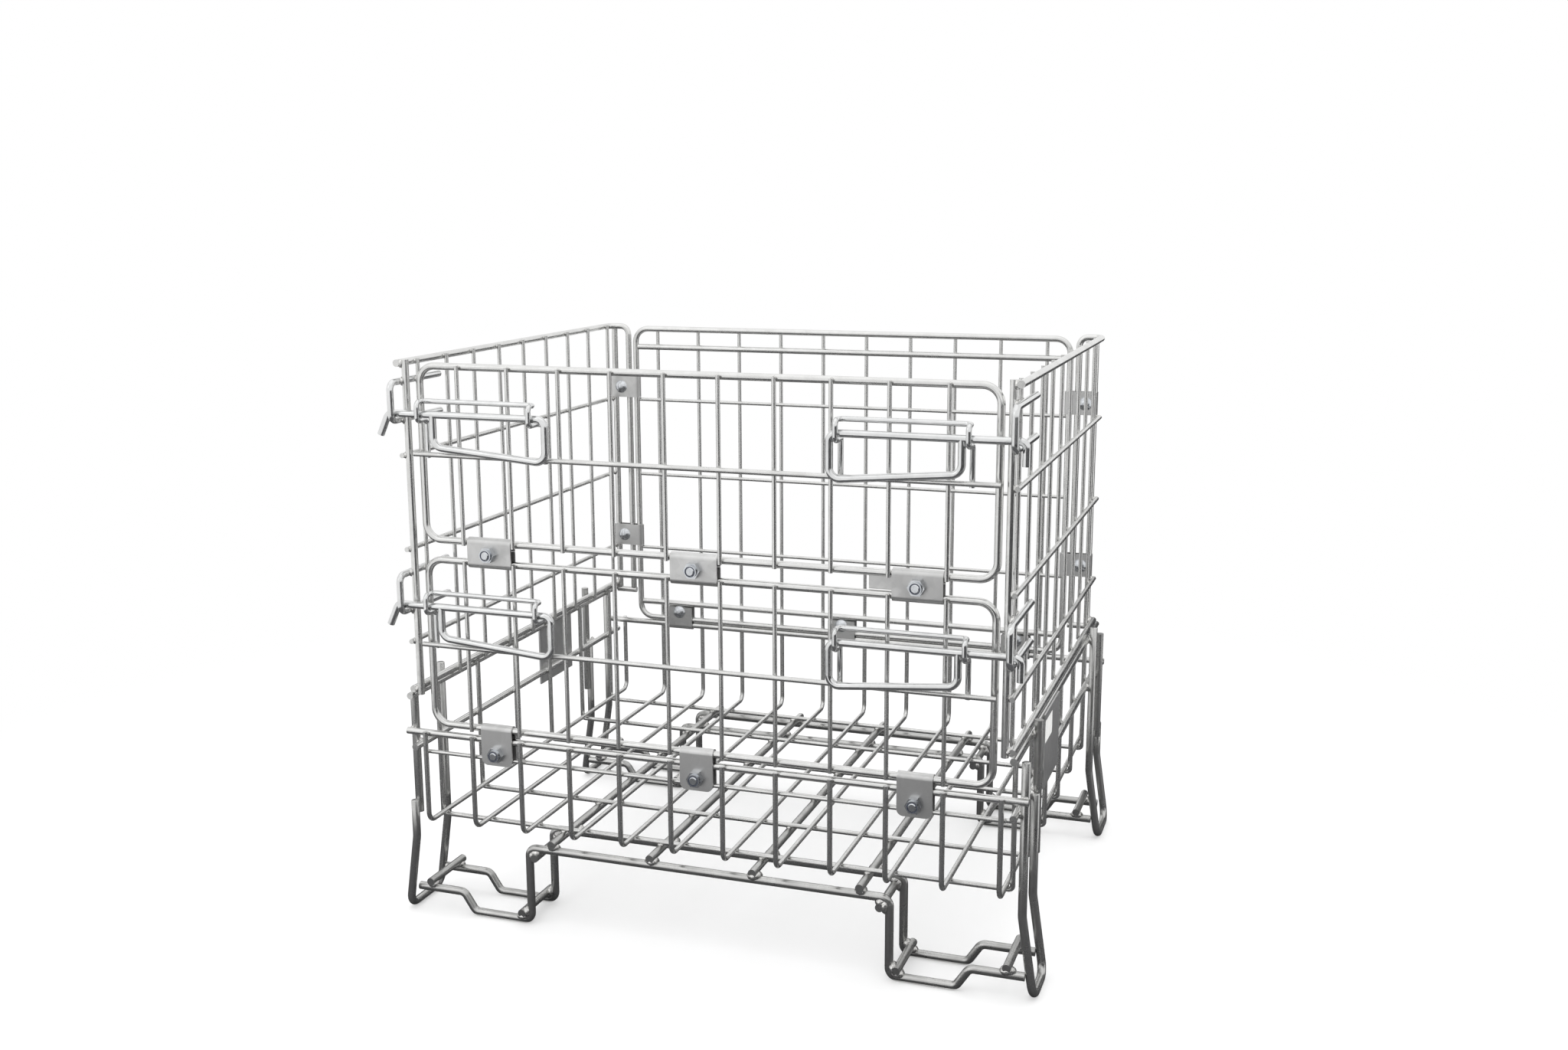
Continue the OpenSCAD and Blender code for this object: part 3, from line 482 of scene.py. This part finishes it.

# A node takes the first finish that has a word of its name. Rails, posts and frames have none and take ROD.
# Legs, runners and supports take the darker zinc, which is painted shade.
FINISHES = ((BOLT, ("bolts",)), (SHEET, ("strap", "plate")), (WIRE, ("wire",)), (LATCH, ("latch", "catch")),
            (SHADED_LEG, ("leg", "runner", "support")))
for name, thing in nodes.items():
    fitting = [finish for finish, words in FINISHES if any(word in name for word in words)]
    thing.data.materials.clear()
    thing.data.materials.append(fitting[0] if fitting else ROD)


# Foot loops, with the tight bends and the long lapped arms that the photo shows

for name, (across, deep, tall_y, tall_top, lap_y, lap_top) in LOOPS.items():
    path = [(LEG_X, tall_y, tall_top), (LEG_X, tall_y, SPLAY_Z), (FOOT_X, tall_y, FOOT_Z),
            (FOOT_X, lap_y, FOOT_Z), (LEG_X, lap_y, SPLAY_Z), (LEG_X, lap_y, lap_top)]
    line = bent_centre(np.array(path) * (across, deep, 1), (SPLAY_BEND, FOOT_BEND, FOOT_BEND, SPLAY_BEND), 9)
    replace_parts(new_piece(name + "_loop", *swept_rod(line, HEAVY_RADIUS), "container", SHADED_LEG, "rod_zinc"), name)


# Welds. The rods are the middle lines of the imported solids, each group with its own radius.

# Floor, base and runners
long_wires = rods([along_y(x, 124.3, -290, 290) for x in WIRE_X], WIRE_RADIUS)
skirts = {side: rods([along_z(x, side * 294, 136, 240.55) for x in WIRE_X], WIRE_RADIUS) for side in (-1, 1)}
cross_wires = rods([along_x(y, 118.2, 360) for y in CROSS_Y], WIRE_RADIUS)
cross_ends = rods(both([along_z(364.05, y, 124, 290) for y in CROSS_Y]), WIRE_RADIUS)
base_rails = {side: rods([along_x(side * RAIL_Y, 237.3, 386)], RAIL_RADIUS) for side in (-1, 1)}
side_rails = rods(both([along_y(371.4, 287.1, -302, 302), along_y(371.4, 219.7, -296, 296)]), RAIL_RADIUS)
skirt_wire = rods([along_x(-288.4, 214.1, 362)], THIN_RADIUS)
supports = rods(both([along_y(x, 110.1, -285, 285) for x in SUPPORT_X]), HEAVY_RADIUS)
runners = rods([along_x(y, 100, 219) for y in RUNNER_Y], HEAVY_RADIUS)
runner_ends = rods(both([[(x0, y, z), (x1, y, z)] for y in RUNNER_Y
                         for x0, x1, z in ((238, 300, 5.0), (326, 385, 28.8))]), HEAVY_RADIUS)
runner_uprights = rods(both([along_z(228.8, y, 15, 90) for y in RUNNER_Y]), HEAVY_RADIUS)
ties = rods(both([along_y(x, z, side * PAIR_Y - TIE_HALF, side * PAIR_Y + TIE_HALF) for side in (-1, 1)
                  for x, z in ((218.7, 89.9), (238.9, 15.1), (366.05, 38.9))]), HEAVY_RADIUS)
leg_arms = [along_z(across * LEG_X, deep * y, 105, top) for across, deep, tall_y, tall_top, lap_y, lap_top
            in LOOPS.values() for y, top in ((tall_y, tall_top), (lap_y, lap_top))]
leg_posts = [along_z(side * LEG_X, y, low, high) for side, y, low, high in POSTS]
legs = rods(leg_arms + leg_posts, HEAVY_RADIUS)

# Side panels
top_rails = rods(both([along_y(PANEL_X, 692.8, -300, 280)]), RAIL_RADIUS)
bottom_rails = rods(both([along_y(PANEL_X, 295.23, -298, 291)]), RAIL_RADIUS)
uprights = rods(both([along_z(361.75, y, 291, 696) for y in UPRIGHT_Y]), THIN_RADIUS)
front_posts = rods(both([along_z(POST_X, -293.95, 289, TOP)]), RAIL_RADIUS)
rear_posts = rods(both([along_z(POST_X, RAIL_Y, 292, 688)]), RAIL_RADIUS)
side_levels = rods(both([along_y(367.35, z, -299, 292) for z in LEVELS]), WIRE_RADIUS)
catches = rods(both([along_y(368.35, z + rise, -306, -207) for z in LATCH_Z for rise in (-8.55, 36.45)]),
               CATCH_RADIUS)

# Back panel
back_bars = rods([along_x(RAIL_Y, z, 321) for z in (245.9, 270.3, 662.8, 689.8)], RAIL_RADIUS)
back_uprights = rods([along_z(x, 293.5, 242.6, 690) for x in WIRE_X[1:-1]], THIN_RADIUS)
back_levels = rods([along_x(288.4, z, 321) for z in LEVELS], THIN_RADIUS)

spot = [(long_wires, cross_wires), (skirts[-1], skirt_wire), (cross_ends, side_rails), (uprights, top_rails),
        (uprights, bottom_rails), (uprights, side_levels), (back_uprights, back_bars),
        (back_uprights, back_levels), (skirts[-1], base_rails[-1]), (skirts[1], base_rails[1])]
arc = [(cross_wires, supports), (legs, side_rails), (legs, base_rails[-1]), (legs, base_rails[1]),
       (front_posts, top_rails), (front_posts, bottom_rails), (front_posts, side_levels),
       (rear_posts, bottom_rails), (catches, uprights), (catches, front_posts), (rear_posts, side_levels)]
heavy = [(supports, runners), (ties, runner_ends), (ties, runner_uprights), (ties, runners)]


def new_welds(body, groups):
    """A body's weld metal as one piece, from groups of (pairs of rods that may touch, size of the welds)."""
    made = [nuggets(crossings(a, b), *size) for pairs, size in groups for a, b in pairs]
    new_piece(body + "_welds", *join([weld for weld in made if len(weld[0])]), body, WELD_AND_GLINTS, "rod_zinc")


new_welds("container", ((spot, SPOT), (arc, ARC), (heavy, HEAVY_ARC)))
for body, (low, high, level, latch) in GATES.items():
    wires = rods([along_z(x, GATE_WIRE_Y, low - 3.5, high + 1.5) for x in WIRE_X[1:-1]], THIN_RADIUS)
    bars = rods([along_x(-RAIL_Y, z, 326) for z in (low, high)], RAIL_RADIUS)
    level_wire = rods([along_x(LEVEL_WIRE_Y, level, 350)], WIRE_RADIUS)
    guides = rods([[(x0, LEVEL_WIRE_Y, latch + GUIDE_RISE), (x1, LEVEL_WIRE_Y, latch + GUIDE_RISE)]
                   for x0, x1 in GUIDE_BARS], WIRE_RADIUS)
    guide_legs = rods([along_z(x, GUIDE_BACK_Y, level - LEG_PASS, level + 30)
                       for x in sorted(OUTER_LEG_X + INNER_LEG_X)], WIRE_RADIUS)
    new_welds(body, (([(wires, bars), (wires, level_wire)], SPOT),
                     ([(wires, guides), (guide_legs, level_wire)], GUIDE_SPOT)))


# The legs at the inner hooks of the latch guides, which run down to the level wire as the outer ones do.
# On the left the wire first runs a little towards the middle, behind the side of the pull loop.

for body, (*_, level, latch) in GATES.items():
    hook_z, foot_z = latch - HOOK_DROP, level - LEG_PASS
    left_x, right_x = INNER_LEG_X
    left = bent_centre([(LEFT_HOOK_X, GUIDE_BACK_Y, hook_z), (left_x, GUIDE_BACK_Y, hook_z),
                        (left_x, GUIDE_BACK_Y, foot_z)], (2 * WIRE_RADIUS,), 7)
    right = np.array(along_z(right_x, GUIDE_BACK_Y, hook_z, foot_z))
    new_piece(body + "_guide_legs", *join([domed_rod(left, (-1, 0, 0)), domed_rod(right, (0, 0, 1))]),
              body, LATCH, "rod_zinc")


# Rings in the nuts, and the label

def nut_ring(x, y, z, sign):
    """The nylon ring in a nut's collar, a little proud of it, round the end of the bolt."""
    profile = [(-0.8, 6.2), (0.1, 6.2), (0.25, 6.0), (0.3, 5.6), (0.1, 5.15), (-0.8, 5.15)]
    return revolve(profile, (x, y, z), sign, 28)


# Place of each nut's outer end, and which way it faces
NUTS = {
    "container": [(x, -RAIL_Y - LEAF - NUT_HEIGHT, 222.1, 1) for x in STRAP_X]
    + [(x, RAIL_Y + LEAF + NUT_HEIGHT, 258.1, -1) for x in STRAP_X]
    + [(s * CORNER_STRAP_X, RAIL_Y + LEAF + NUT_HEIGHT, z, -1) for s in (-1, 1) for z in (602.5, 374.6)],
    "link": [(x, -RAIL_Y - LEAF - NUT_HEIGHT, 469.75, 1) for x in STRAP_X],
}
for body, places in NUTS.items():
    new_piece(body + "_nut_rings", *join([nut_ring(*place) for place in places]), body, NYLON, "bolt_zinc")


def label(y_range, z_range, inner, outer, corner):
    """A thin sheet with round corners that lies on a plate facing +X, with a slight swell in the middle."""
    (y0, y1), (z0, z1) = y_range, z_range
    turn = np.radians(np.arange(0, 360, 15)) + np.radians(7.5)
    quarter = np.repeat(np.array([(1, 1), (-1, 1), (-1, -1), (1, -1)]), 6, axis=0)
    half = np.array([(y1 - y0) / 2 - corner, (z1 - z0) / 2 - corner])
    edge = quarter * half + corner * np.stack([np.cos(turn), np.sin(turn)], -1)
    middle = np.array([(y0 + y1) / 2, (z0 + z1) / 2])
    # Distance along X of each ring, and its share of the label's size
    rings = [(inner, 1.0), (outer - 0.04, 1.0), (outer, 0.98), (outer + 0.03, 0.5)]
    points = [(x, *(middle + edge[i] * share)) for x, share in rings for i in range(len(edge))]
    faces = grid_faces(len(rings), len(edge)).tolist()
    last = (len(rings) - 1) * len(edge)
    faces.append([last + i for i in range(len(edge))])
    faces.append(list(range(len(edge)))[::-1])
    return points, faces


new_piece("right_label_sheet", *label(**LABEL), "container", PAPER, "sheet_zinc", False)


# Studio, in metres

FLOOR_SIZE = 12.0
# Grey cards: their arcs round the part in degrees, distance, foot and top, height of the lying one, and greys
CARD_ARCS = ((-82, -10), (25, 88), (133, 165))
CARD_REACH, CARD_FOOT, CARD_HEIGHT, LYING_HEIGHT = 1.3, 0.03, 0.62, 0.003
STANDING_GREY, LYING_GREY = 0.06, 0.09
WORLD_LEVEL = 0.85
SENSOR_WIDTH = 36.0


def seen_as_background(t):
    """1 for rays that the camera, metal or glass sees directly, 0 for the rays that light the part."""
    path = node(t, "ShaderNodeLightPath", (-1100, -200))
    first = node(t, "ShaderNodeMath", (-850, -200), operation="MAXIMUM")
    second = node(t, "ShaderNodeMath", (-650, -200), operation="MAXIMUM")
    t.links.new(path.outputs["Is Camera Ray"], first.inputs[0])
    t.links.new(path.outputs["Is Glossy Ray"], first.inputs[1])
    t.links.new(first.outputs[0], second.inputs[0])
    t.links.new(path.outputs["Is Transmission Ray"], second.inputs[1])
    return second.outputs[0]


def floor_material():
    """A pale sheet that keeps the shadow near the part and turns to the background's white further out."""
    material, t, shader = new_material("studio_floor")
    shader.inputs["Base Color"].default_value = (0.93, 0.93, 0.93, 1)
    shader.inputs["Roughness"].default_value = 0.9
    shader.inputs["Specular IOR Level"].default_value = 0.1
    place = node(t, "ShaderNodeTexCoord", (-1100, 300))
    reach = node(t, "ShaderNodeVectorMath", (-900, 300), operation="LENGTH")
    far = node(t, "ShaderNodeMapRange", (-700, 300), interpolation_type="SMOOTHSTEP", From_Min=0.35,
               From_Max=1.5, To_Min=0.35, To_Max=1.0)
    white = node(t, "ShaderNodeEmission", (-200, -200))
    mix = node(t, "ShaderNodeMixShader", (100, 0))
    share = node(t, "ShaderNodeMath", (-200, 300), operation="MULTIPLY")
    t.links.new(place.outputs["Object"], reach.inputs[0])
    t.links.new(reach.outputs["Value"], far.inputs["Value"])
    t.links.new(far.outputs["Result"], share.inputs[0])
    t.links.new(seen_as_background(t), share.inputs[1])
    t.links.new(share.outputs[0], mix.inputs[0])
    t.links.new(shader.outputs[0], mix.inputs[1])
    t.links.new(white.outputs[0], mix.inputs[2])
    t.links.new(mix.outputs[0], t.nodes["Material Output"].inputs["Surface"])
    return material


def card_material(name, grey):
    """Matt grey card, a little towards blue."""
    material, _, shader = new_material(name)
    shader.inputs["Base Color"].default_value = (grey, grey, grey * 1.03, 1)
    shader.inputs["Roughness"].default_value = 1.0
    shader.inputs["Specular IOR Level"].default_value = 0.0
    return material


def stage_floor():
    """The floor under the part, with its origin at the part's."""
    corners = [(-FLOOR_SIZE, -FLOOR_SIZE, 0), (FLOOR_SIZE, -FLOOR_SIZE, 0), (FLOOR_SIZE, FLOOR_SIZE, 0),
               (-FLOOR_SIZE, FLOOR_SIZE, 0)]
    stage_piece("studio_floor", corners, [(0, 1, 2, 3)], floor_material())


def grey_cards():
    """Grey cards round the part that only its metal reflects: some stand in an open ring, one lies flat as
    painted shade, a dark floor under the part for the undersides of the rods to reflect.
    """
    steps, columns = 25, 48
    points, faces = [], []
    for first, last in CARD_ARCS:
        turn = np.radians(np.linspace(first, last, steps))
        start = len(points)
        points += [(CARD_REACH * math.cos(a), CARD_REACH * math.sin(a), z) for z in (CARD_FOOT, CARD_HEIGHT)
                   for a in turn]
        faces += (grid_faces(2, steps, closed=False) + start).tolist()
    standing = stage_piece("standing_cards", points, faces, card_material("standing_card", STANDING_GREY))
    turn = np.linspace(0, 2 * np.pi, columns, endpoint=False)
    rings = [(r * math.cos(a), r * math.sin(a), LYING_HEIGHT) for r in (0.0001, CARD_REACH) for a in turn]
    lying = stage_piece("lying_card", rings, grid_faces(2, columns).tolist(),
                        card_material("lying_card", LYING_GREY))
    for card in (standing, lying):
        card.visible_camera = card.visible_shadow = card.visible_diffuse = card.visible_transmission = False


def world_light(level):
    """Even light, with plain white where the camera, metal or glass looks at the background."""
    world = bpy.data.worlds.new("studio")
    bpy.context.scene.world = world
    world.use_nodes = True
    t = world.node_tree
    background = t.nodes["Background"]
    strength = node(t, "ShaderNodeMapRange", (-200, -100), To_Min=level, To_Max=1.0)
    t.links.new(seen_as_background(t), strength.inputs["Value"])
    t.links.new(strength.outputs["Result"], background.inputs["Strength"])
    background.inputs["Color"].default_value = (1, 1, 1, 1)


def lamp(name, place, target, size, watts, in_metal=True):
    """An area lamp. Metal adds its glow to the white background that it reflects, unless in_metal is off."""
    light = bpy.data.lights.new(name, "AREA")
    light.shape = "RECTANGLE"
    light.size, light.size_y = size
    light.energy = watts
    to = np.array(target, float) - np.array(place, float)
    back = -to / np.linalg.norm(to)
    right = np.cross((0, 0, 1), back)
    right /= np.linalg.norm(right)
    thing = in_scene(name, light)
    aim(thing, right, np.cross(back, right), back, place)
    thing.visible_glossy = in_metal


def camera(place, yaw, pitch, roll, lens):
    """A camera that looks along +Y, turned by yaw towards -X, tipped down by pitch and rolled."""
    cy, sy, cp, sp = math.cos(yaw), math.sin(yaw), math.cos(pitch), math.sin(pitch)
    forward = np.array([-sy * cp, cy * cp, -sp])
    right = np.array([cy, sy, 0.0])
    down = np.cross(forward, right)
    cr, sr = math.cos(roll), math.sin(roll)
    right, down = right * cr + down * sr, down * cr - right * sr
    data = bpy.data.cameras.new("camera")
    data.lens, data.sensor_width, data.sensor_fit = lens, SENSOR_WIDTH, "HORIZONTAL"
    data.clip_start, data.clip_end = 0.05, 60.0
    thing = in_scene("camera", data)
    aim(thing, right, -down, -forward, place)
    bpy.context.scene.camera = thing


stage_floor()
grey_cards()
world_light(WORLD_LEVEL)
lamp("overhead_softbox", place=(-0.2, -0.2, 3.0), target=(0, 0, 0.3), size=(6.0, 5.4), watts=104,
     in_metal=False)
lamp("overhead_glow", place=(-0.2, -0.2, 2.95), target=(0, 0, 0.3), size=(3.6, 3.2), watts=8)
lamp("key_light", place=(-1.9, -2.4, 2.3), target=(0, 0, 0.35), size=(1.8, 1.6), watts=3.5)
# The focal length was fitted in pixels of a frame that is 2048 wide
camera(place=(0.67444, -1.919722, 0.88085), yaw=0.33234, pitch=0.20048, roll=0.00349,
       lens=2102.63 / 2048 * SENSOR_WIDTH)
bpy.context.scene.view_settings.view_transform = "Standard"

bpy.context.view_layer.update()
